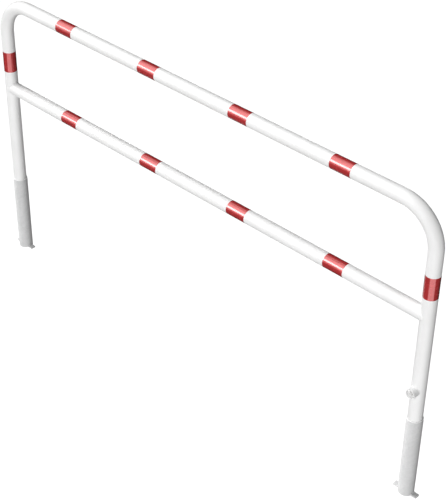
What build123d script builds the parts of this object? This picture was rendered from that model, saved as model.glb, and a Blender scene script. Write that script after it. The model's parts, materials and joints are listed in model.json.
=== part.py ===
from build123d import *

import math
import os

# A removable hoop barrier: one bent steel tube with a knee rail, standing in two ground sockets.
# A key lock in the right leg throws a bolt into the right socket, so that the hoop can't be lifted out.
#
# Lengths are in millimetres. The origin is on the ground line, midway between the legs and in the
# plane of the hoop. +X runs along the rails, +Z is up, and the key goes in from the front, at -Y.

# Hoop and knee rail
TUBE_RADIUS = 30.0
TUBE_WALL = 2.5
LEG_SPACING = 2440.0  # between the legs' centre lines
TOP_RAIL_HEIGHT = 950.0  # centre line above the ground
KNEE_RAIL_HEIGHT = 500.0
BEND_RADIUS = 165.0  # of the centre line

# Red reflective bands, each a strip of film wrapped once round the tube
BAND_LENGTH = 100.0
BAND_THICKNESS = 0.4
BANDS_PER_RAIL = 4
LEG_BAND_HEIGHT = 640.0

# Ground sockets: a tube set in concrete, with a flat bar through its foot that anchors it
SOCKET_RADIUS = 34.0
SOCKET_WALL = 3.0
SOCKET_LENGTH = 400.0
ANCHOR_LENGTH = 116.0
ANCHOR_WIDTH = 25.0
ANCHOR_THICKNESS = 8.0

# Lock barrel: a stub of tube welded across the front of the right leg, with the key head inside it
LOCK_HEIGHT = 150.0
BARREL_RADIUS = 21.2
BARREL_WALL = 3.2
BARREL_FRONT = -55.0

# Lock bush: the flanged bearing of the key spindle, held in the barrel by one grub screw
FLANGE_FRONT = -41.2
FLANGE_BACK = -32.0
BUSH_RADIUS = 14.0
BUSH_BACK = -11.3
BARREL_PLAY = 0.1
GRUB_SCREW_RADIUS = 2.5
GRUB_SCREW_BITE = 3.0
GRUB_SCREW_Y = -36.5
HEX_SOCKET_RADIUS = 1.4
HEX_SOCKET_DEPTH = 2.0

# Key spindle: a three-sided head, a thrust collar, the shaft and the journal for the crank disc
SPINDLE_RADIUS = 7.0
SPINDLE_PLAY = 0.1
COLLAR_RADIUS = 11.0
COLLAR_FRONT = -43.5
COLLAR_BACK = -41.5
HEAD_FRONT = -51.5
HEAD_FLAT_RADIUS = 5.4  # from the axis to each of the three flats
HEAD_CORNER_RADIUS = 8.6  # from the axis to the turned corners
JOURNAL_RADIUS = 5.0
WASHER_RADIUS = 12.0
WASHER_FRONT = -11.0
DISC_FRONT = -9.0
DISC_BACK = -3.0
DISC_RADIUS = 13.5

# Crank pin: it turns a quarter turn with the key, from above the spindle's axis to below it
CRANK_RADIUS = 9.0
CRANK_START_ANGLE = 45.0
CRANK_PIN_RADIUS = 2.5
CRANK_PIN_BACK = 3.0
YOKE_PLAY = 0.6

# Lock rod: a slim plate with a yoke slot for the crank pin and a sloping slot that throws the bolt
ROD_THICKNESS = 3.0
ROD_WAIST = 10.0
ROD_HEAD_REACH = 18.0  # of the head, past the rod's centre line
ROD_HEAD_MARGIN = 8.0  # from the middle of the yoke slot to the head's edges
ROD_FOOT_WIDTH = 26.0
ROD_FOOT_MARGIN = 8.0  # from the middles of the sloping slot's ends to the foot's edges
ROD_CORNER_RADIUS = 2.0
SLOT_PLAY = 0.3

# Lock bolt: a round bolt, forked over the rod, with a cross pin that runs in the sloping slot
BOLT_HEIGHT = -35.0
BOLT_RADIUS = 6.0
BOLT_PLAY = 0.4
BOLT_TRAVEL = 8.0
BOLT_NOSE = -25.5  # from the leg's centre line, when the bolt is drawn back
BOLT_NOSE_CHAMFER = 1.5
BOLT_TAIL = 13.0
FORK_GAP = 3.8
FORK_ROOT_CLEARANCE = 0.6
CROSS_PIN_RADIUS = 2.5
CROSS_PIN_LENGTH = 10.8
BOLT_HOLE_RADIUS = 7.0  # in the leg and in the socket

# Bolt housing: a turned plug inside the leg that guides the rod and the bolt
HOUSING_RADIUS = 26.8
HOUSING_TOP = -10.0
HOUSING_BOTTOM = -60.0
HOUSING_BORE_END = 16.0
HOUSING_CHAMFER = 1.0
ROD_PLAY = 0.5
ACCESS_HOLE_RADIUS = 2.8
HOUSING_PIN_RADIUS = 4.0
HOUSING_PIN_HEIGHT = -51.0
HOUSING_PIN_OUTER = 29.5
HOUSING_PIN_INNER = 19.0
BUSH_HOLE_PLAY = 0.3

# Sizes that follow from those above
LEG_X = LEG_SPACING / 2
SOCKET_FOOT = -SOCKET_LENGTH
LEG_FOOT = SOCKET_FOOT + ANCHOR_THICKNESS
OVERALL_LENGTH = LEG_SPACING + 2 * TUBE_RADIUS
BAND_GAP = (OVERALL_LENGTH - BANDS_PER_RAIL * BAND_LENGTH) / (BANDS_PER_RAIL + 1)
BARREL_BORE = BARREL_RADIUS - BARREL_WALL
CRANK_X = CRANK_RADIUS * math.cos(math.radians(CRANK_START_ANGLE))
CRANK_RISE = CRANK_RADIUS * math.sin(math.radians(CRANK_START_ANGLE))
ROD_TRAVEL = 2 * CRANK_RISE
CROSS_PIN_X = BOLT_TRAVEL / 2


def rod_along(direction, radius, start, end, through=(0.0, 0.0, 0.0)):
    """A round bar along X, Y or Z from start to end, on the axis through the point given."""
    point = Vector(*through)
    base = point + Vector(*direction) * (start - point.dot(Vector(*direction)))
    plane = Plane(origin=base, z_dir=Vector(*direction))
    return plane * extrude(Circle(radius), amount=end - start)


def tube_stub(direction, radius, wall, start, end, through=(0.0, 0.0, 0.0)):
    """A straight tube, as rod_along with a bore."""
    outer = rod_along(direction, radius, start, end, through)
    return outer - rod_along(direction, radius - wall, start, end, through)


X_AXIS = (1.0, 0.0, 0.0)
Y_AXIS = (0.0, 1.0, 0.0)
Z_AXIS = (0.0, 0.0, 1.0)
LOCK_AXIS = (LEG_X, 0.0, LOCK_HEIGHT)
BOLT_AXIS = (LEG_X, 0.0, BOLT_HEIGHT)


def leg_core(x):
    """The full round space of a leg, for coping what is welded against it."""
    return rod_along(Z_AXIS, TUBE_RADIUS, LEG_FOOT, TOP_RAIL_HEIGHT, (x, 0.0, 0.0))


def make_hoop_tube():
    """Both legs, both bends and the top rail, bent from one tube, with the lock's openings cut."""
    path = FilletPolyline(
        (-LEG_X, 0, LEG_FOOT),
        (-LEG_X, 0, TOP_RAIL_HEIGHT),
        (LEG_X, 0, TOP_RAIL_HEIGHT),
        (LEG_X, 0, LEG_FOOT),
        radius=BEND_RADIUS,
    )
    section = Circle(TUBE_RADIUS) - Circle(TUBE_RADIUS - TUBE_WALL)
    hoop = sweep(Plane(origin=path @ 0, z_dir=path % 0) * section, path=path)
    hoop -= rod_along(Y_AXIS, BUSH_RADIUS + BUSH_HOLE_PLAY, -TUBE_RADIUS, 0.0, LOCK_AXIS)
    hoop -= rod_along(X_AXIS, BOLT_HOLE_RADIUS, LEG_X - TUBE_RADIUS, LEG_X, BOLT_AXIS)
    pin_axis = (LEG_X, 0.0, HOUSING_PIN_HEIGHT)
    hoop -= rod_along(Y_AXIS, HOUSING_PIN_RADIUS, -TUBE_RADIUS, TUBE_RADIUS, pin_axis)
    return hoop


def make_knee_rail():
    """The lower rail, with both ends coped to sit round the legs."""
    through = (0.0, 0.0, KNEE_RAIL_HEIGHT)
    rail = tube_stub(X_AXIS, TUBE_RADIUS, TUBE_WALL, -LEG_X, LEG_X, through)
    return rail - leg_core(-LEG_X) - leg_core(LEG_X)


def make_rail_band(index, height):
    """One of the bands spaced evenly along a rail, counted from the left."""
    start = -OVERALL_LENGTH / 2 + BAND_GAP + index * (BAND_LENGTH + BAND_GAP)
    outer = TUBE_RADIUS + BAND_THICKNESS
    return tube_stub(X_AXIS, outer, BAND_THICKNESS, start, start + BAND_LENGTH, (0, 0, height))


def make_leg_band(x):
    """The band round a leg, between the bend and the knee rail."""
    low = LEG_BAND_HEIGHT - BAND_LENGTH / 2
    outer = TUBE_RADIUS + BAND_THICKNESS
    return tube_stub(Z_AXIS, outer, BAND_THICKNESS, low, low + BAND_LENGTH, (x, 0, 0))


def make_anchor_bar(x):
    """The flat bar through a socket's foot. The leg stands on it, and rain drains past it."""
    middle = SOCKET_FOOT + ANCHOR_THICKNESS / 2
    return Pos(x, 0, middle) * Box(ANCHOR_LENGTH, ANCHOR_WIDTH, ANCHOR_THICKNESS)


def make_socket_tube(x):
    """A ground socket's tube, slotted for its anchor bar. Its rim is level with the ground."""
    tube = tube_stub(Z_AXIS, SOCKET_RADIUS, SOCKET_WALL, SOCKET_FOOT, 0.0, (x, 0.0, 0.0))
    return tube - make_anchor_bar(x)


def make_lock_socket_tube():
    """The right socket's tube, with the hole that the lock bolt enters."""
    hole = rod_along(X_AXIS, BOLT_HOLE_RADIUS, LEG_X - SOCKET_RADIUS, LEG_X, BOLT_AXIS)
    return make_socket_tube(LEG_X) - hole


def grub_screw_bore(radius):
    """The screw's bore, from outside the barrel's lower side into the bush's flange."""
    through = (LEG_X, GRUB_SCREW_Y, 0.0)
    low = LOCK_HEIGHT - BARREL_RADIUS - 1.0
    high = LOCK_HEIGHT - BARREL_BORE + BARREL_PLAY + GRUB_SCREW_BITE
    return rod_along(Z_AXIS, radius, low, high, through)


def make_lock_barrel():
    """The stub of tube round the key head, coped to the front of the leg."""
    barrel = tube_stub(Y_AXIS, BARREL_RADIUS, BARREL_WALL, BARREL_FRONT, 0.0, LOCK_AXIS)
    return barrel - leg_core(LEG_X) - grub_screw_bore(GRUB_SCREW_RADIUS)


def make_lock_bush():
    """The flanged bearing that carries the key spindle through the leg's wall."""
    flange_radius = BARREL_BORE - BARREL_PLAY
    bush = rod_along(Y_AXIS, flange_radius, FLANGE_FRONT, FLANGE_BACK, LOCK_AXIS)
    bush += rod_along(Y_AXIS, BUSH_RADIUS, FLANGE_BACK, BUSH_BACK, LOCK_AXIS)
    bore = SPINDLE_RADIUS + SPINDLE_PLAY
    bush -= rod_along(Y_AXIS, bore, FLANGE_FRONT, BUSH_BACK, LOCK_AXIS)
    return bush - grub_screw_bore(GRUB_SCREW_RADIUS)


def make_grub_screw():
    """The set screw that holds the bush, flush with the barrel and with a hexagon socket."""
    low = LOCK_HEIGHT - BARREL_RADIUS + 0.3
    high = LOCK_HEIGHT - BARREL_BORE + BARREL_PLAY + GRUB_SCREW_BITE
    through = (LEG_X, GRUB_SCREW_Y, 0.0)
    screw = rod_along(Z_AXIS, GRUB_SCREW_RADIUS, low, high, through)
    hexagon = extrude(RegularPolygon(HEX_SOCKET_RADIUS, 6), amount=HEX_SOCKET_DEPTH)
    return screw - Pos(LEG_X, GRUB_SCREW_Y, low) * hexagon


def make_key_spindle():
    """The shaft that the key turns, with its three-sided head towards the front."""
    head_plane = Plane(origin=(LEG_X, HEAD_FRONT, LOCK_HEIGHT), x_dir=Z_AXIS, z_dir=Y_AXIS)
    triangle = RegularPolygon(HEAD_FLAT_RADIUS, 3, major_radius=False)
    outline = triangle & Circle(HEAD_CORNER_RADIUS)
    spindle = head_plane * extrude(outline, amount=COLLAR_FRONT - HEAD_FRONT)
    spindle += rod_along(Y_AXIS, COLLAR_RADIUS, COLLAR_FRONT, COLLAR_BACK, LOCK_AXIS)
    spindle += rod_along(Y_AXIS, SPINDLE_RADIUS, COLLAR_BACK, WASHER_FRONT, LOCK_AXIS)
    return spindle + rod_along(Y_AXIS, JOURNAL_RADIUS, WASHER_FRONT, DISC_BACK, LOCK_AXIS)


def make_thrust_washer():
    """The washer between the bush and the crank disc."""
    wall = WASHER_RADIUS - JOURNAL_RADIUS
    return tube_stub(Y_AXIS, WASHER_RADIUS, wall, WASHER_FRONT, DISC_FRONT, LOCK_AXIS)


def crank_axis():
    """A point on the crank pin's axis, with the lock open."""
    return (LEG_X + CRANK_X, 0.0, LOCK_HEIGHT + CRANK_RISE)


def make_crank_disc():
    """The disc fixed to the spindle's end, with the hole for the crank pin."""
    wall = DISC_RADIUS - JOURNAL_RADIUS
    disc = tube_stub(Y_AXIS, DISC_RADIUS, wall, DISC_FRONT, DISC_BACK, LOCK_AXIS)
    return disc - rod_along(Y_AXIS, CRANK_PIN_RADIUS, DISC_FRONT, DISC_BACK, crank_axis())


def make_crank_pin():
    """The pin pressed into the crank disc, running in the rod's yoke slot."""
    return rod_along(Y_AXIS, CRANK_PIN_RADIUS, DISC_FRONT, CRANK_PIN_BACK, crank_axis())


def make_lock_rod():
    """The flat rod that the crank lowers, with its lower end forked over by the bolt."""
    yoke_height = LOCK_HEIGHT + CRANK_RISE
    head_top = yoke_height + ROD_HEAD_MARGIN
    head_bottom = yoke_height - ROD_HEAD_MARGIN
    foot_bottom = BOLT_HEIGHT - ROD_FOOT_MARGIN
    foot_top = BOLT_HEIGHT + ROD_TRAVEL + ROD_FOOT_MARGIN
    waist = ROD_WAIST / 2
    foot = ROD_FOOT_WIDTH / 2
    outline = Polyline(
        (-foot, foot_bottom),
        (foot, foot_bottom),
        (foot, foot_top),
        (waist, foot_top + foot - waist),
        (waist, head_bottom - (ROD_HEAD_REACH - waist)),
        (ROD_HEAD_REACH, head_bottom),
        (ROD_HEAD_REACH, head_top),
        (-waist, head_top),
        (-waist, foot_top + foot - waist),
        (-foot, foot_top),
        close=True,
    )
    plate = fillet(make_face(outline).vertices(), radius=ROD_CORNER_RADIUS)

    yoke_width = 2 * (CRANK_PIN_RADIUS + YOKE_PLAY)
    yoke_middle = (CRANK_X + CRANK_RADIUS) / 2
    plate -= Pos(yoke_middle, yoke_height) * SlotCenterToCenter(CRANK_RADIUS - CRANK_X, yoke_width)

    slope = math.degrees(math.atan2(ROD_TRAVEL, -BOLT_TRAVEL))
    slot_width = 2 * (CROSS_PIN_RADIUS + SLOT_PLAY)
    slot_reach = math.hypot(BOLT_TRAVEL, ROD_TRAVEL)
    slot = Rot(0, 0, slope) * SlotCenterToCenter(slot_reach, slot_width)
    plate -= Pos(CROSS_PIN_X - BOLT_TRAVEL / 2, BOLT_HEIGHT + ROD_TRAVEL / 2) * slot

    front = Plane(origin=(LEG_X, ROD_THICKNESS / 2, 0), x_dir=X_AXIS, z_dir=(0, -1, 0))
    return front * extrude(plate, amount=ROD_THICKNESS)


def make_bolt_housing():
    """The plug in the leg that guides the rod and the bolt."""
    axis = (LEG_X, 0.0, 0.0)
    housing = rod_along(Z_AXIS, HOUSING_RADIUS, HOUSING_BOTTOM, HOUSING_TOP, axis)
    housing = chamfer(housing.edges().filter_by(GeomType.CIRCLE), HOUSING_CHAMFER)
    length = HOUSING_TOP - HOUSING_BOTTOM
    rod_way = Box(ROD_FOOT_WIDTH + 2 * ROD_PLAY, ROD_THICKNESS + 2 * ROD_PLAY, length)
    housing -= Pos(LEG_X, 0, (HOUSING_TOP + HOUSING_BOTTOM) / 2) * rod_way
    bore = BOLT_RADIUS + BOLT_PLAY
    housing -= rod_along(X_AXIS, bore, LEG_X - TUBE_RADIUS, LEG_X + HOUSING_BORE_END, BOLT_AXIS)
    access = (LEG_X + CROSS_PIN_X, 0.0, BOLT_HEIGHT)
    housing -= rod_along(Y_AXIS, ACCESS_HOLE_RADIUS, -TUBE_RADIUS, 0.0, access)
    for pin in housing_pin_solids():
        housing -= pin
    return housing


def housing_pin_solids():
    """The two pins through the leg's wall, one at the front and one at the back."""
    axis = (LEG_X, 0.0, HOUSING_PIN_HEIGHT)
    front = rod_along(Y_AXIS, HOUSING_PIN_RADIUS, -HOUSING_PIN_OUTER, -HOUSING_PIN_INNER, axis)
    back = rod_along(Y_AXIS, HOUSING_PIN_RADIUS, HOUSING_PIN_INNER, HOUSING_PIN_OUTER, axis)
    return [front, back]


def make_lock_bolt():
    """The round bolt, drawn back, forked over the rod and drilled for the cross pin."""
    bolt = rod_along(X_AXIS, BOLT_RADIUS, LEG_X + BOLT_NOSE, LEG_X + BOLT_TAIL, BOLT_AXIS)
    nose = bolt.edges().filter_by(GeomType.CIRCLE).sort_by(Axis.X)[0]
    bolt = chamfer(nose, BOLT_NOSE_CHAMFER)
    root = -ROD_FOOT_WIDTH / 2 - FORK_ROOT_CLEARANCE
    fork_length = BOLT_TAIL - root
    fork = Box(fork_length, FORK_GAP, 2 * BOLT_RADIUS)
    bolt -= Pos(LEG_X + (root + BOLT_TAIL) / 2, 0, BOLT_HEIGHT) * fork
    return bolt - cross_pin_rod(2 * BOLT_RADIUS)


def cross_pin_rod(length):
    """A bar on the cross pin's axis, centred in the bolt."""
    axis = (LEG_X + CROSS_PIN_X, 0.0, BOLT_HEIGHT)
    return rod_along(Y_AXIS, CROSS_PIN_RADIUS, -length / 2, length / 2, axis)


def write(node, shape):
    """Write one node's solids to its own STEP file."""
    export_step(shape, f"parts/{node}.step")


def main():
    os.makedirs("parts", exist_ok=True)

    write("hoop_tube", make_hoop_tube())
    write("knee_rail", make_knee_rail())
    for index in range(BANDS_PER_RAIL):
        write(f"top_band_{index + 1}", make_rail_band(index, TOP_RAIL_HEIGHT))
        write(f"knee_band_{index + 1}", make_rail_band(index, KNEE_RAIL_HEIGHT))
    write("left_leg_band", make_leg_band(-LEG_X))
    write("right_leg_band", make_leg_band(LEG_X))

    write("left_socket_tube", make_socket_tube(-LEG_X))
    write("right_socket_tube", make_lock_socket_tube())
    write("left_anchor_bar", make_anchor_bar(-LEG_X))
    write("right_anchor_bar", make_anchor_bar(LEG_X))

    write("lock_barrel", make_lock_barrel())
    write("lock_bush", make_lock_bush())
    write("grub_screw", make_grub_screw())
    write("key_spindle", make_key_spindle())
    write("thrust_washer", make_thrust_washer())
    write("crank_disc", make_crank_disc())
    write("crank_pin", make_crank_pin())
    write("lock_rod", make_lock_rod())
    write("bolt_housing", make_bolt_housing())
    write("housing_pins", Compound(children=housing_pin_solids()))
    write("lock_bolt", make_lock_bolt())
    write("bolt_cross_pin", cross_pin_rod(CROSS_PIN_LENGTH))


main()
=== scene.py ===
import json
import math

import bmesh
import bpy
from mathutils import Matrix, Vector, noise

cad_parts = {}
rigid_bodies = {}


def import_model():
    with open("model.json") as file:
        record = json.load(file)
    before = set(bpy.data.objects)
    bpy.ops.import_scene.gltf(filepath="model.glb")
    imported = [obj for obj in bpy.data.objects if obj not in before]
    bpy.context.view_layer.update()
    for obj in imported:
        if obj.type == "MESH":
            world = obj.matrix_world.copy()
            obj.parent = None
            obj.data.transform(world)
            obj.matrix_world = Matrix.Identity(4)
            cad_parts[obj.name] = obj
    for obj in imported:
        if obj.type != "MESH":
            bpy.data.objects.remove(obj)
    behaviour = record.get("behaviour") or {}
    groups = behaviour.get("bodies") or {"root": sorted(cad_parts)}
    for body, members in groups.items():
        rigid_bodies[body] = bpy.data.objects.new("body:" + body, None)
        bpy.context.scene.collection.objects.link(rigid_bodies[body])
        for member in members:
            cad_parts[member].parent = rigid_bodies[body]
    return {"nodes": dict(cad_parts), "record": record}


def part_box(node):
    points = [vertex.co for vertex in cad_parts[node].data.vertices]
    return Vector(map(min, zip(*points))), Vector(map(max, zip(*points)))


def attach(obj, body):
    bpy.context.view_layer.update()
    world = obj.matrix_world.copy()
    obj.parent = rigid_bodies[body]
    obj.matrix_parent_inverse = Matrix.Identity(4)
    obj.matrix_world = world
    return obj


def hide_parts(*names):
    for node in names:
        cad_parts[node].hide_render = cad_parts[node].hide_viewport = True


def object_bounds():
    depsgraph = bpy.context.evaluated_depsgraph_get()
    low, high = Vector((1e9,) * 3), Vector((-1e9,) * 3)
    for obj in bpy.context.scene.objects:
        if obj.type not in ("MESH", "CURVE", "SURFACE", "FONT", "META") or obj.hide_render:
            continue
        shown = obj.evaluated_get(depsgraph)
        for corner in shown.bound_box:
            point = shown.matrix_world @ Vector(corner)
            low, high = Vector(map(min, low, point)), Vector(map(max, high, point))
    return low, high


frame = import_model()
CAD_LOW, CAD_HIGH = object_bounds()

# Sizes in metres, in the frame's own axes: +X along the rails, -Y to the front, +Z up
TUBE_RADIUS = 0.030
TUBE_WALL = 0.0025
BEND_RADIUS = 0.165
BAND_THICKNESS = 0.0004
SOCKET_RADIUS = 0.034
SOCKET_WALL = 0.003
BARREL_RADIUS = 0.0212
EDGE_ROUNDING = 0.0004
RIM_HIGHLIGHT_DEPTH = 0.0016  # how far down a socket tube its zinc is painted near white, a painted highlight where the rim catches the light
SLOT_PLAY = 0.0003  # on each side of an anchor bar, in its socket's slots
BUSH_HOLE_RADIUS = 0.0143  # in the leg, for the lock bush
BOLT_HOLE_RADIUS = 0.007  # in the leg and in the socket
LAP_ANGLE = math.radians(14)  # how far a band's end laps over
SLIVER = 0.000001
TUBE_SIDES = 96
BEND_STEPS = 40

# Places, from the frame
left_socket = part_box("left_socket_tube")
right_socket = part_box("right_socket_tube")
left_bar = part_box("left_anchor_bar")
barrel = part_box("lock_barrel")
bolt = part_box("lock_bolt")
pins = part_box("housing_pins")
LEFT_X = (left_socket[0].x + left_socket[1].x) / 2
RIGHT_X = (right_socket[0].x + right_socket[1].x) / 2
RIM = right_socket[1].z
SOCKET_FOOT = right_socket[0].z
FOOT = left_bar[1].z
TOP_HEIGHT = sum(corner.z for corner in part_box("top_band_1")) / 2
KNEE_HEIGHT = sum(corner.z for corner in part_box("knee_band_1")) / 2
LOCK_HEIGHT = (barrel[0].z + barrel[1].z) / 2
BOLT_HEIGHT = (bolt[0].z + bolt[1].z) / 2
PIN_HEIGHT = (pins[0].z + pins[1].z) / 2
PIN_RADIUS = (pins[1].x - pins[0].x) / 2

X_AXIS = Vector((1, 0, 0))
Y_AXIS = Vector((0, 1, 0))
Z_AXIS = Vector((0, 0, 1))


# ---------------------------------------------------------------- materials

class Nodes:
    """A material's node tree, with short calls for the nodes used here."""

    def __init__(self, name):
        self.material = bpy.data.materials.new(name)
        self.material.use_nodes = True
        self.tree = self.material.node_tree
        self.shader = self.tree.nodes["Principled BSDF"]

    def add(self, kind, **settings):
        node = self.tree.nodes.new(kind)
        for key, value in settings.items():
            setattr(node, key, value)
        return node

    def link(self, source, target):
        self.tree.links.new(source, target)

    def feed(self, value, target):
        """Link a socket to an input, or set the input to a plain value."""
        if hasattr(value, "links"):
            self.link(value, target)
        else:
            target.default_value = value

    def place(self, scale=(1, 1, 1)):
        """Object coordinates in metres, stretched by scale."""
        coordinates = self.add("ShaderNodeTexCoord")
        mapping = self.add("ShaderNodeMapping")
        mapping.inputs["Scale"].default_value = scale
        self.link(coordinates.outputs["Object"], mapping.inputs["Vector"])
        return mapping.outputs["Vector"]

    def noise(self, place, scale, detail=2.0, roughness=0.5):
        node = self.add("ShaderNodeTexNoise")
        node.inputs["Scale"].default_value = scale
        node.inputs["Detail"].default_value = detail
        node.inputs["Roughness"].default_value = roughness
        self.link(place, node.inputs["Vector"])
        return node.outputs["Fac"]

    def cells(self, place, scale, feature="F1"):
        node = self.add("ShaderNodeTexVoronoi", feature=feature)
        node.inputs["Scale"].default_value = scale
        self.link(place, node.inputs["Vector"])
        return node

    def ramp(self, value, stops):
        """A colour or grey ramp. Each stop is (position, grey or colour)."""
        node = self.add("ShaderNodeValToRGB")
        elements = node.color_ramp.elements
        while len(elements) < len(stops):
            elements.new(0.5)
        for element, (position, shade) in zip(elements, stops):
            element.position = position
            colour = shade if isinstance(shade, tuple) else (shade, shade, shade)
            element.color = (*colour, 1.0)
        self.link(value, node.inputs["Fac"])
        return node.outputs["Color"]

    def rise(self, place, low, high):
        """0 below one height and 1 above another."""
        split = self.add("ShaderNodeSeparateXYZ")
        self.link(place, split.inputs["Vector"])
        node = self.add("ShaderNodeMapRange")
        node.inputs["From Min"].default_value = low
        node.inputs["From Max"].default_value = high
        self.link(split.outputs["Z"], node.inputs["Value"])
        return node.outputs["Result"]

    def mix(self, factor, first, second, blend="MIX"):
        node = self.add("ShaderNodeMix", data_type="RGBA", blend_type=blend)
        for value, key in ((factor, 0), (first, 6), (second, 7)):
            self.feed(value, node.inputs[key])
        return node.outputs[2]

    def math(self, operation, first, second=0.0):
        node = self.add("ShaderNodeMath", operation=operation)
        for value, key in ((first, 0), (second, 1)):
            self.feed(value, node.inputs[key])
        return node.outputs[0]

    def bump(self, height, distance, strength=1.0, under=None):
        node = self.add("ShaderNodeBump")
        node.inputs["Distance"].default_value = distance
        node.inputs["Strength"].default_value = strength
        self.link(height, node.inputs["Height"])
        if under is not None:
            self.link(under, node.inputs["Normal"])
        return node.outputs["Normal"]

    def finish(self, colour=None, roughness=None, normal=None, **fixed):
        for value, key in ((colour, "Base Color"), (roughness, "Roughness"), (normal, "Normal")):
            if value is not None:
                self.feed(value, self.shader.inputs[key])
        for key, value in fixed.items():
            self.shader.inputs[key.replace("_", " ")].default_value = value
        return self.material


def white_coating():
    """White powder coat: a faint orange peel and a little tone in the white."""
    nodes = Nodes("white_powder_coat")
    place = nodes.place()
    peel = nodes.noise(place, 900.0, 2.0)
    swell = nodes.noise(place, 60.0, 3.0)
    tone = nodes.noise(place, 7.0, 4.0, 0.6)
    colour = nodes.ramp(tone, [(0.3, (0.83, 0.83, 0.825)), (0.7, (0.87, 0.87, 0.87))])
    roughness = nodes.ramp(swell, [(0.3, 0.30), (0.7, 0.38)])
    normal = nodes.bump(peel, 0.00006, 0.35)
    normal = nodes.bump(swell, 0.0006, 0.10, under=normal)
    return nodes.finish(colour, roughness, normal, Specular_IOR_Level=0.4)


def red_film():
    """Red reflective film: small six-sided cells under a glossy skin, with a paler cell wall."""
    nodes = Nodes("red_reflective_film")
    place = nodes.place()
    cells = nodes.cells(place, 330.0, "DISTANCE_TO_EDGE")
    wall = nodes.ramp(cells.outputs["Distance"], [(0.03, 1.0), (0.09, 0.0)])
    tone = nodes.noise(place, 40.0, 3.0)
    base = nodes.ramp(tone, [(0.3, (0.46, 0.030, 0.032)), (0.7, (0.53, 0.040, 0.042))])
    colour = nodes.mix(nodes.math("MULTIPLY", wall, 0.25), base, (0.66, 0.08, 0.08, 1.0))
    ripple = nodes.noise(place, 30.0, 2.0)
    normal = nodes.bump(ripple, 0.0008, 0.12)
    roughness = nodes.ramp(tone, [(0.2, 0.22), (0.8, 0.30)])
    return nodes.finish(colour, roughness, normal, Metallic=0.20, Specular_IOR_Level=0.3,
                        Coat_Weight=1.0, Coat_Roughness=0.07, Coat_IOR=1.65)


def galvanised_steel():
    """Hot-dip zinc: spangle in matt greys, with a slightly uneven skin and a painted highlight round the top of
    each rim.
    """
    nodes = Nodes("galvanised_steel")
    place = nodes.place()
    warp = nodes.noise(place, 120.0, 2.0)
    bent = nodes.mix(0.06, place, warp)
    spangle = nodes.cells(bent, 95.0)
    flakes = nodes.cells(bent, 240.0)
    blotch = nodes.noise(place, 18.0, 4.0, 0.65)
    grey = nodes.ramp(spangle.outputs["Color"], [(0.0, 0.57), (1.0, 0.70)])
    fine = nodes.ramp(flakes.outputs["Color"], [(0.0, 0.58), (1.0, 0.68)])
    colour = nodes.mix(0.4, grey, fine)
    tint = nodes.ramp(blotch, [(0.3, (0.93, 0.935, 0.94)), (0.7, (1.0, 1.0, 1.0))])
    colour = nodes.mix(1.0, colour, tint, "MULTIPLY")
    # Painted highlight: a band at the top of each socket rim is painted near white, standing in for the light
    # that the rim catches.
    rim_highlight = nodes.rise(place, RIM - RIM_HIGHLIGHT_DEPTH, RIM - RIM_HIGHLIGHT_DEPTH / 2)
    colour = nodes.mix(rim_highlight, colour, (0.94, 0.94, 0.94, 1.0))
    roughness = nodes.ramp(spangle.outputs["Color"], [(0.0, 0.48), (1.0, 0.62)])
    normal = nodes.bump(nodes.noise(place, 260.0, 3.0), 0.00015, 0.35)
    normal = nodes.bump(blotch, 0.0015, 0.10, under=normal)
    return nodes.finish(colour, roughness, normal, Metallic=0.06, Specular_IOR_Level=0.2)


def machined_steel():
    """Zinc-plated turned steel: fine tool marks and a faint yellow cast in places."""
    nodes = Nodes("machined_steel")
    place = nodes.place()
    marks = nodes.noise(nodes.place((1, 14, 1)), 500.0, 2.0)
    patch = nodes.noise(place, 80.0, 3.0)
    colour = nodes.ramp(patch, [(0.3, (0.79, 0.79, 0.79)), (0.7, (0.87, 0.86, 0.84))])
    roughness = nodes.ramp(marks, [(0.3, 0.28), (0.7, 0.42)])
    normal = nodes.bump(marks, 0.00005, 0.4)
    return nodes.finish(colour, roughness, normal, Metallic=0.25)


def grey_iron():
    """The bolt housing: turned grey iron with a dull, slightly stained surface."""
    nodes = Nodes("grey_iron")
    place = nodes.place()
    stain = nodes.noise(place, 90.0, 4.0, 0.6)
    grain = nodes.noise(place, 1500.0, 2.0)
    colour = nodes.ramp(stain, [(0.3, (0.16, 0.16, 0.165)), (0.7, (0.26, 0.255, 0.25))])
    roughness = nodes.ramp(grain, [(0.3, 0.45), (0.7, 0.6)])
    normal = nodes.bump(grain, 0.00008, 0.4)
    return nodes.finish(colour, roughness, normal, Metallic=0.6)


def pale_floor():
    """The studio floor: an even, pale, slightly mottled paper white."""
    nodes = Nodes("studio_floor")
    place = nodes.place()
    tone = nodes.noise(place, 2.0, 3.0)
    colour = nodes.ramp(tone, [(0.3, (0.90, 0.90, 0.90)), (0.7, (0.93, 0.93, 0.93))])
    return nodes.finish(colour, 0.9, Specular_IOR_Level=0.0)


WHITE = white_coating()
RED = red_film()
ZINC = galvanised_steel()
STEEL = machined_steel()
IRON = grey_iron()
MATERIAL_OF_SLOT = {
    "white_coating": WHITE,
    "lock_bush": WHITE,
    "red_film": RED,
    "galvanised_steel": ZINC,
    "machined_steel": STEEL,
    "bolt_housing": IRON,
}
SLOT_OF_NODE = {part["node"]: part["material_slot"] for part in frame["record"]["subparts"]}


# ------------------------------------------------------------------- meshes

def mesh_piece(name, points, faces, sharp_degrees=35.0):
    """A piece from points and faces, shaded smooth apart from its sharp edges."""
    mesh = bpy.data.meshes.new(name)
    mesh.from_pydata([tuple(point) for point in points], [], faces)
    mesh.validate()
    mesh.shade_smooth()
    mesh.set_sharp_from_angle(angle=math.radians(sharp_degrees))
    piece = bpy.data.objects.new(name, mesh)
    bpy.context.scene.collection.objects.link(piece)
    return piece


def face_outward(mesh):
    """Turn the faces of a closed mesh to look outward."""
    solid = bmesh.new()
    solid.from_mesh(mesh)
    if solid.calc_volume(signed=True) < 0:
        mesh.flip_normals()
    solid.free()


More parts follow.
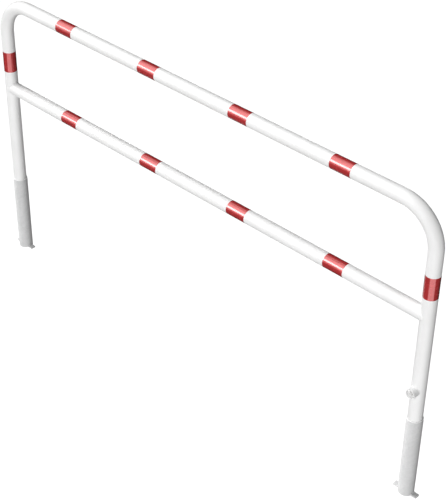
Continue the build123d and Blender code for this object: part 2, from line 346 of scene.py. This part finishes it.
def drop_slivers(mesh):
    """Merge away the faces of no area that a cut can leave behind."""
    solid = bmesh.new()
    solid.from_mesh(mesh)
    bmesh.ops.dissolve_degenerate(solid, edges=solid.edges, dist=SLIVER)
    solid.to_mesh(mesh)
    solid.free()


def dress(piece, slot, body, *nodes):
    """Give a piece the material of its slot, let it ride on its body and stand for its CAD nodes."""
    face_outward(piece.data)
    piece.data.materials.clear()
    piece.data.materials.append(MATERIAL_OF_SLOT[slot])
    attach(piece, body)
    if nodes:
        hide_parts(*nodes)
    return piece


def closed_loft(name, rings, sharp_degrees=35.0):
    """A closed skin through rings of equal size, with the last ring joined back to the first."""
    sides = len(rings[0])
    points = [point for ring in rings for point in ring]
    faces = []
    for i in range(len(rings)):
        after = (i + 1) % len(rings)
        for j in range(sides):
            beside = (j + 1) % sides
            faces.append((i * sides + j, after * sides + j, after * sides + beside, i * sides + beside))
    return mesh_piece(name, points, faces, sharp_degrees)


def circle(centre, across, up, radius, sides=TUBE_SIDES):
    """Points round a circle in the plane of the unit vectors across and up."""
    angles = [2 * math.pi * j / sides for j in range(sides)]
    return [centre + across * (radius * math.cos(a)) + up * (radius * math.sin(a)) for a in angles]


def tube_rings(stations, outer, inner, edge):
    """Rings for a tube with rounded rims, out along the stations and back inside.

    A station is (centre, across, up, along), and the tube ends at the first and the last.
    """
    def at(station, radius, shift=0.0):
        centre, across, up, along = station
        return circle(centre + along * shift, across, up, radius)

    first, last = stations[0], stations[-1]
    rings = [at(first, inner + edge), at(first, outer - edge), at(first, outer, edge)]
    rings += [at(station, outer) for station in stations[1:-1]]
    rings += [at(last, outer, -edge), at(last, outer - edge), at(last, inner + edge)]
    rings += [at(last, inner, -edge)]
    rings += [at(station, inner) for station in reversed(stations[1:-1])]
    return rings + [at(first, inner, edge)]


def straight_stations(start, end, across, steps):
    """Stations along a straight tube from start to end."""
    along = (end - start).normalized()
    up = along.cross(across)
    return [(start.lerp(end, i / steps), across, up, along) for i in range(steps + 1)]


def cut_away(piece, start, end):
    """Cut a straight prism out of a piece. Start and end are the outlines of its two ends."""
    sides = len(start)
    faces = [(j, (j + 1) % sides, sides + (j + 1) % sides, sides + j) for j in range(sides)]
    faces += [tuple(reversed(range(sides))), tuple(range(sides, 2 * sides))]
    cutter = mesh_piece("cutter", start + end, faces)
    cut = piece.modifiers.new("hole", "BOOLEAN")
    cut.operation = "DIFFERENCE"
    cut.solver = "EXACT"
    cut.object = cutter
    bpy.context.view_layer.update()
    graph = bpy.context.evaluated_depsgraph_get()
    mesh = bpy.data.meshes.new_from_object(piece.evaluated_get(graph))
    piece.modifiers.clear()
    drop_slivers(mesh)
    piece.data = mesh
    piece.data.set_sharp_from_angle(angle=math.radians(35.0))
    bpy.data.objects.remove(cutter)


def drill(piece, centre, direction, radius, length, sides=64):
    """Cut a round hole through a piece, centred on a point."""
    across = direction.orthogonal().normalized()
    up = direction.cross(across)
    start, end = (circle(centre + direction * reach, across, up, radius, sides)
                  for reach in (-length / 2, length / 2))
    cut_away(piece, start, end)


# --------------------------------------------------------------------- hoop

def hoop_stations():
    """Stations up the left leg, round both bends and down the right leg."""
    stations = []

    def add(x, z, angle):
        along = Vector((math.sin(angle), 0, math.cos(angle)))
        stations.append((Vector((x, 0, z)), Y_AXIS, along.cross(Y_AXIS), along))

    bend_height = TOP_HEIGHT - BEND_RADIUS
    leg_steps = 24
    rail_steps = 32
    for i in range(leg_steps):
        add(LEFT_X, FOOT + (bend_height - FOOT) * i / leg_steps, 0.0)
    for i in range(BEND_STEPS + 1):
        angle = math.pi / 2 * i / BEND_STEPS
        x = LEFT_X + BEND_RADIUS * (1 - math.cos(angle))
        add(x, bend_height + BEND_RADIUS * math.sin(angle), angle)
    first, last = LEFT_X + BEND_RADIUS, RIGHT_X - BEND_RADIUS
    for i in range(1, rail_steps):
        add(first + (last - first) * i / rail_steps, TOP_HEIGHT, math.pi / 2)
    for i in range(BEND_STEPS + 1):
        angle = math.pi / 2 * (1 + i / BEND_STEPS)
        x = RIGHT_X - BEND_RADIUS * (1 + math.cos(angle))
        add(x, bend_height + BEND_RADIUS * math.sin(angle), angle)
    for i in range(1, leg_steps + 1):
        add(RIGHT_X, bend_height + (FOOT - bend_height) * i / leg_steps, math.pi)
    return stations


def make_hoop():
    """The bent tube, with the lock's holes through the right leg."""
    rings = tube_rings(hoop_stations(), TUBE_RADIUS, TUBE_RADIUS - TUBE_WALL, EDGE_ROUNDING)
    hoop = closed_loft("hoop_tube_skin", rings)
    front = Vector((RIGHT_X, -TUBE_RADIUS, LOCK_HEIGHT))
    drill(hoop, front, Y_AXIS, BUSH_HOLE_RADIUS, TUBE_RADIUS)
    side = Vector((RIGHT_X - TUBE_RADIUS, 0, BOLT_HEIGHT))
    drill(hoop, side, X_AXIS, BOLT_HOLE_RADIUS, TUBE_RADIUS)
    drill(hoop, Vector((RIGHT_X, 0, PIN_HEIGHT)), Y_AXIS, PIN_RADIUS, 3 * TUBE_RADIUS)
    return dress(hoop, "white_coating", "hoop", "hoop_tube")


def make_knee_rail():
    """The lower rail, each end coped to the leg that it meets."""
    outer, inner = TUBE_RADIUS, TUBE_RADIUS - TUBE_WALL
    steps = 24

    def ring(radius, side, inset, share):
        """A ring between the middle and one coped end. A share of 1 is at the end."""
        points = []
        for j in range(TUBE_SIDES):
            angle = 2 * math.pi * j / TUBE_SIDES
            y = radius * math.cos(angle)
            z = radius * math.sin(angle)
            leg_x = RIGHT_X if side > 0 else LEFT_X
            end_x = leg_x - side * (math.sqrt(max(TUBE_RADIUS ** 2 - y ** 2, 0.0)) + inset)
            points.append(Vector((end_x * share, y, KNEE_HEIGHT + z)))
        return points

    shares = [1 - 2 * i / steps for i in range(steps + 1)]
    outside = [ring(outer, -1 if share > 0 else 1, 0.0, abs(share)) for share in shares]
    inside = [ring(inner, -1 if share > 0 else 1, 0.0, abs(share)) for share in reversed(shares)]
    rail = closed_loft("knee_rail_skin", outside + inside)
    return dress(rail, "white_coating", "hoop", "knee_rail")


# -------------------------------------------------------------------- bands

def make_band(node):
    """A strip of film wrapped once round the tube, with its end lapped over."""
    low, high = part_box(node)
    middle = (low + high) / 2
    upright = (high.z - low.z) > (high.x - low.x)
    along = Z_AXIS if upright else X_AXIS
    across = X_AXIS if upright else Z_AXIS
    lap_side = along.cross(across) if upright else -across
    sideways = along.cross(lap_side)
    length = (high - low).dot(along)
    outer = TUBE_RADIUS + BAND_THICKNESS
    lap_height = BAND_THICKNESS * 0.45
    sides = 144
    edge = BAND_THICKNESS * 0.4

    def ring(shift, shrink):
        points = []
        for j in range(sides):
            angle = 2 * math.pi * j / sides
            turned = (angle + math.pi) % (2 * math.pi) - math.pi
            lapped = 0.0 if 0.0 <= turned < LAP_ANGLE else lap_height
            radius = outer - lapped - shrink
            direction = lap_side * math.cos(angle) + sideways * math.sin(angle)
            points.append(middle + along * shift + direction * radius)
        return points

    def inner_ring(shift):
        return circle(middle + along * shift, lap_side, sideways, TUBE_RADIUS - BAND_THICKNESS, sides)

    half = length / 2
    rings = [inner_ring(-half), ring(-half, edge), ring(edge - half, 0.0)]
    rings += [ring(half - edge, 0.0), ring(half, edge), inner_ring(half)]
    band = closed_loft(f"{node}_film", rings)
    return dress(band, "red_film", "hoop", node)


# ------------------------------------------------------------------ sockets

def make_socket(x, node):
    """A socket tube, slotted for its anchor bar. The right one has the hole for the lock bolt."""
    stations = straight_stations(Vector((x, 0, SOCKET_FOOT)), Vector((x, 0, RIM)), X_AXIS, 12)
    rings = tube_rings(stations, SOCKET_RADIUS, SOCKET_RADIUS - SOCKET_WALL, EDGE_ROUNDING)
    socket = closed_loft(f"{node}_skin", rings)
    half_width = left_bar[1].y + SLOT_PLAY
    start, end = ([Vector((x + reach, side * half_width, height)) for side, height in
                   ((-1, SOCKET_FOOT - 0.01), (1, SOCKET_FOOT - 0.01), (1, FOOT), (-1, FOOT))]
                  for reach in (-2 * SOCKET_RADIUS, 2 * SOCKET_RADIUS))
    cut_away(socket, start, end)
    if node == "right_socket_tube":
        side = Vector((x - SOCKET_RADIUS, 0, BOLT_HEIGHT))
        drill(socket, side, X_AXIS, BOLT_HOLE_RADIUS, SOCKET_RADIUS)
    return dress(socket, "galvanised_steel", "ground_sockets", node)


def make_anchor_bar(node):
    """A sheared flat bar with slightly rounded edges."""
    low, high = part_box(node)
    middle = (low + high) / 2
    half = (high - low) / 2
    corner = 0.0015
    edge = 0.0006

    def ring(height, shrink):
        points = []
        steps = 6
        for cx, cy, start in ((1, 1, 0), (-1, 1, 90), (-1, -1, 180), (1, -1, 270)):
            centre = Vector((cx * (half.x - corner), cy * (half.y - corner), 0))
            for i in range(steps + 1):
                angle = math.radians(start + 90 * i / steps)
                reach = corner - shrink
                offset = Vector((math.cos(angle), math.sin(angle), 0)) * reach
                points.append(middle + centre + offset + Z_AXIS * height)
        return points

    rings = [ring(-half.z, edge), ring(edge - half.z, 0.0), ring(half.z - edge, 0.0), ring(half.z, edge)]
    count = len(rings[0])
    points = [point for loop in rings for point in loop]
    faces = [tuple(reversed(range(count))), tuple(range(3 * count, 4 * count))]
    for i in range(3):
        for j in range(count):
            beside = (j + 1) % count
            faces.append((i * count + j, i * count + beside, (i + 1) * count + beside, (i + 1) * count + j))
    bar = mesh_piece(f"{node}_skin", points, faces)
    return dress(bar, "galvanised_steel", "ground_sockets", node)


# -------------------------------------------------------------------- welds

def weld_bead(name, path, outward, radius, pitch, closed, slot, body, seed):
    """A bead of weld along a path: a rounded ridge with the ripple of a hand-laid seam."""
    sides = 14
    count = len(path)
    rings = []
    travelled = 0.0
    for i, point in enumerate(path):
        before = path[i - 1] if (closed or i > 0) else point
        after = path[(i + 1) % count] if (closed or i < count - 1) else point
        along = (after - before).normalized()
        out = outward[i] - along * outward[i].dot(along)
        out.normalize()
        beside = along.cross(out)
        if i:
            travelled += (point - path[i - 1]).length
        ripple = 1.0 + 0.07 * math.sin(2 * math.pi * travelled / pitch)
        ripple += 0.10 * noise.noise(point * 140.0 + Vector((seed, 0, 0)))
        size = radius * ripple
        if not closed:
            to_end = min(i, count - 1 - i) / (count - 1)
            size *= math.sqrt(min(1.0, 0.12 + to_end * 12))
        rings.append(circle(point, out, beside, size, sides))
    if closed:
        bead = closed_loft(name, rings, 60.0)
    else:
        points = [p for ring in rings for p in ring]
        faces = [tuple(reversed(range(sides))), tuple(range((count - 1) * sides, count * sides))]
        for i in range(count - 1):
            for j in range(sides):
                beside = (j + 1) % sides
                faces.append((i * sides + j, i * sides + beside, (i + 1) * sides + beside, (i + 1) * sides + j))
        bead = mesh_piece(name, points, faces, 60.0)
    return dress(bead, slot, body)


def make_knee_weld(name, leg_x, side, seed):
    """The seam where the knee rail meets a leg. Side is +1 where the rail runs towards +X."""
    bead_radius = 0.0026
    sink = 0.0011
    path, outward = [], []
    count = 360
    for i in range(count):
        angle = 2 * math.pi * i / count
        y = TUBE_RADIUS * math.sin(angle)
        reach = math.sqrt(max(TUBE_RADIUS ** 2 - y ** 2, 0.0))
        rail_normal = Vector((0, math.sin(angle), math.cos(angle)))
        leg_normal = Vector((side * reach, y, 0)) / TUBE_RADIUS
        out = (rail_normal + leg_normal).normalized()
        corner = Vector((leg_x + side * reach, y, KNEE_HEIGHT + TUBE_RADIUS * math.cos(angle)))
        path.append(corner - out * sink)
        outward.append(out)
    return weld_bead(name, path, outward, bead_radius, 0.0042, True, "white_coating", "hoop", seed)


def make_barrel_weld():
    """The seam round the lock barrel, on the front of the right leg."""
    path, outward = [], []
    count = 200
    for i in range(count):
        angle = 2 * math.pi * i / count
        x, z = BARREL_RADIUS * math.cos(angle), BARREL_RADIUS * math.sin(angle)
        y = -math.sqrt(TUBE_RADIUS ** 2 - x ** 2)
        leg_normal = Vector((x, y, 0)) / TUBE_RADIUS
        barrel_normal = Vector((x, 0, z)) / BARREL_RADIUS
        out = (leg_normal + barrel_normal).normalized()
        path.append(Vector((RIGHT_X + x, y, LOCK_HEIGHT + z)) - out * 0.0006)
        outward.append(out)
    return weld_bead("lock_barrel_weld", path, outward, 0.0022, 0.0036, True, "white_coating", "hoop", 5.0)


def make_anchor_weld(name, leg_x, side, seed):
    """The short seam between a socket tube and one end of its anchor bar."""
    reach = math.asin((left_bar[1].y - left_bar[0].y) / 2 / SOCKET_RADIUS) * 0.97
    path, outward = [], []
    count = 48
    for i in range(count):
        angle = reach * (2 * i / (count - 1) - 1)
        normal = Vector((side * math.cos(angle), math.sin(angle), 0))
        out = (normal + Z_AXIS).normalized()
        path.append(Vector((leg_x, 0, FOOT)) + normal * SOCKET_RADIUS)
        outward.append(out)
    return weld_bead(name, path, outward, 0.0030, 0.0040, False, "galvanised_steel", "ground_sockets", seed)


# -------------------------------------------------------------------- build

make_hoop()
make_knee_rail()
for rail in ("top", "knee"):
    for index in range(1, 5):
        make_band(f"{rail}_band_{index}")
make_band("left_leg_band")
make_band("right_leg_band")
make_socket(LEFT_X, "left_socket_tube")
make_socket(RIGHT_X, "right_socket_tube")
make_anchor_bar("left_anchor_bar")
make_anchor_bar("right_anchor_bar")
make_knee_weld("left_knee_weld", LEFT_X, 1, 1.0)
make_knee_weld("right_knee_weld", RIGHT_X, -1, 2.0)
make_barrel_weld()
for leg_name, leg_x, seed in (("left", LEFT_X, 11.0), ("right", RIGHT_X, 21.0)):
    make_anchor_weld(f"{leg_name}_anchor_weld_outer", leg_x, 1, seed)
    make_anchor_weld(f"{leg_name}_anchor_weld_inner", leg_x, -1, seed + 3.0)

for node, piece in frame["nodes"].items():
    piece.data.materials.clear()
    piece.data.materials.append(MATERIAL_OF_SLOT[SLOT_OF_NODE[node]])


# ------------------------------------------------------------------- studio

def make_floor():
    """A pale floor at the lowest point of the object. The surroundings stand for its light."""
    reach = 30.0
    height = CAD_LOW.z
    corners = [(-reach, -reach), (reach, -reach), (reach, reach), (-reach, reach)]
    floor = mesh_piece("studio_floor", [Vector((x, y, height)) for x, y in corners], [(0, 1, 2, 3)])
    floor.data.materials.append(pale_floor())
    floor.visible_glossy = False
    floor.visible_diffuse = False
    return floor


def towards_light(azimuth, elevation):
    """The unit vector to a light. Azimuth 0 is in front, at -Y, and 90 is on the right, at +X."""
    turn, rise = math.radians(azimuth), math.radians(elevation)
    return Vector((math.sin(turn) * math.cos(rise), -math.cos(turn) * math.cos(rise), math.sin(rise)))


def sun_light(name, azimuth, elevation, spread, share):
    """A soft light from far away, spread degrees wide.

    Share is the brightness that it gives a white surface facing it.
    """
    lamp = bpy.data.lights.new(name, "SUN")
    lamp.angle = math.radians(spread)
    lamp.energy = share * math.pi
    light = bpy.data.objects.new(name, lamp)
    bpy.context.scene.collection.objects.link(light)
    light.rotation_mode = "QUATERNION"
    light.rotation_quaternion = (-towards_light(azimuth, elevation)).to_track_quat("-Z", "Y")
    return light


def make_lights(floor):
    """Soft light from the left, the front, above and behind, and an even light of the floor's own."""
    lights = [
        sun_light("left_light", 275, 40, 56, 0.74),
        sun_light("front_light", 22, 25, 40, 0.70),
        sun_light("top_light", 0, 88, 60, 0.14),
    ]
    floor_only = bpy.data.collections.new("floor_only")
    floor_only.objects.link(floor)
    object_only = bpy.data.collections.new("object_only")
    object_only.objects.link(floor)
    object_only.collection_objects[0].light_linking.link_state = "EXCLUDE"
    for light in lights:
        light.light_linking.receiver_collection = object_only
    zinc_only = bpy.data.collections.new("zinc_only")
    for piece in bpy.context.scene.objects:
        if piece.type == "MESH" and ZINC in list(piece.data.materials):
            zinc_only.objects.link(piece)
    fill = sun_light("socket_fill", 296, 20, 40, 0.50)
    fill.light_linking.receiver_collection = zinc_only
    behind = sun_light("back_light", 224, -12, 30, 0.42)
    behind.light_linking.receiver_collection = object_only
    behind.light_linking.blocker_collection = object_only
    for light in (*lights, fill, behind):
        light.visible_glossy = False
    even = sun_light("floor_light", 0, 90, 40, 1.15)
    even.light_linking.receiver_collection = floor_only
    even.light_linking.blocker_collection = floor_only


def make_surroundings():
    """White behind the object, pale light up from the floor, and soft cards that show in the gloss."""
    world = bpy.data.worlds.new("studio")
    world.use_nodes = True
    tree = world.node_tree
    tree.nodes.clear()

    def add(kind, **settings):
        node = tree.nodes.new(kind)
        for key, value in settings.items():
            setattr(node, key, value)
        return node

    def fade(value, start, end, first, last):
        node = add("ShaderNodeMapRange")
        tree.links.new(value, node.inputs["Value"])
        for key, number in (("From Min", start), ("From Max", end), ("To Min", first), ("To Max", last)):
            node.inputs[key].default_value = number
        return node.outputs["Result"]

    def card(azimuth, elevation, full, gone, brightness):
        """A round card, bright for full degrees about its middle and fading out at gone degrees."""
        facing = add("ShaderNodeVectorMath", operation="DOT_PRODUCT")
        facing.inputs[1].default_value = towards_light(azimuth, elevation)
        tree.links.new(direction, facing.inputs[0])
        edge, middle = math.cos(math.radians(gone)), math.cos(math.radians(full))
        return fade(facing.outputs["Value"], edge, middle, 0.0, brightness)

    def background(strength):
        node = add("ShaderNodeBackground")
        node.inputs["Color"].default_value = (1.0, 1.0, 1.0, 1.0)
        if hasattr(strength, "links"):
            tree.links.new(strength, node.inputs["Strength"])
        else:
            node.inputs["Strength"].default_value = strength
        return node.outputs["Background"]

    def choose(test, otherwise, then):
        node = add("ShaderNodeMixShader")
        tree.links.new(test, node.inputs["Fac"])
        tree.links.new(otherwise, node.inputs[1])
        tree.links.new(then, node.inputs[2])
        return node.outputs["Shader"]

    direction = add("ShaderNodeTexCoord").outputs["Generated"]
    height = add("ShaderNodeSeparateXYZ")
    tree.links.new(direction, height.inputs["Vector"])
    up_light = fade(height.outputs["Z"], -0.01, 0.01, 0.70, 0.03)

    gloss = 0.03
    cards = [
        (310, 42, 0, 58, 2.7),
        (321.6, 24.6, 8, 15, 9.0),
        (38, -36, 31, 34, 1.9),
    ]
    for settings in cards:
        total = add("ShaderNodeMath", operation="ADD")
        tree.links.new(card(*settings), total.inputs[0])
        if hasattr(gloss, "links"):
            tree.links.new(gloss, total.inputs[1])
        else:
            total.inputs[1].default_value = gloss
        gloss = total.outputs[0]

    path = add("ShaderNodeLightPath")
    lit = choose(path.outputs["Is Glossy Ray"], background(up_light), background(gloss))
    seen = choose(path.outputs["Is Camera Ray"], lit, background(1.0))
    tree.links.new(seen, add("ShaderNodeOutputWorld").inputs["Surface"])
    bpy.context.scene.world = world


def make_camera():
    """A long lens above and to the right of the front."""
    azimuth = math.radians(43.93)
    elevation = math.radians(35.43)
    roll = math.radians(0.87)
    distance = 5.6748
    target = Vector((0.1694, 0.0, 0.2640))
    back = Vector((math.sin(azimuth) * math.cos(elevation), -math.cos(azimuth) * math.cos(elevation),
                   math.sin(elevation)))
    data = bpy.data.cameras.new("camera")
    data.lens = 96.947
    data.clip_end = 200.0
    camera = bpy.data.objects.new("camera", data)
    bpy.context.scene.collection.objects.link(camera)
    camera.location = target + back * distance
    camera.rotation_mode = "QUATERNION"
    turn = (-back).to_track_quat("-Z", "Y") @ Matrix.Rotation(roll, 3, "Z").to_quaternion()
    camera.rotation_quaternion = turn
    bpy.context.scene.camera = camera


make_lights(make_floor())
make_surroundings()
make_camera()
bpy.context.scene.view_settings.view_transform = "Standard"
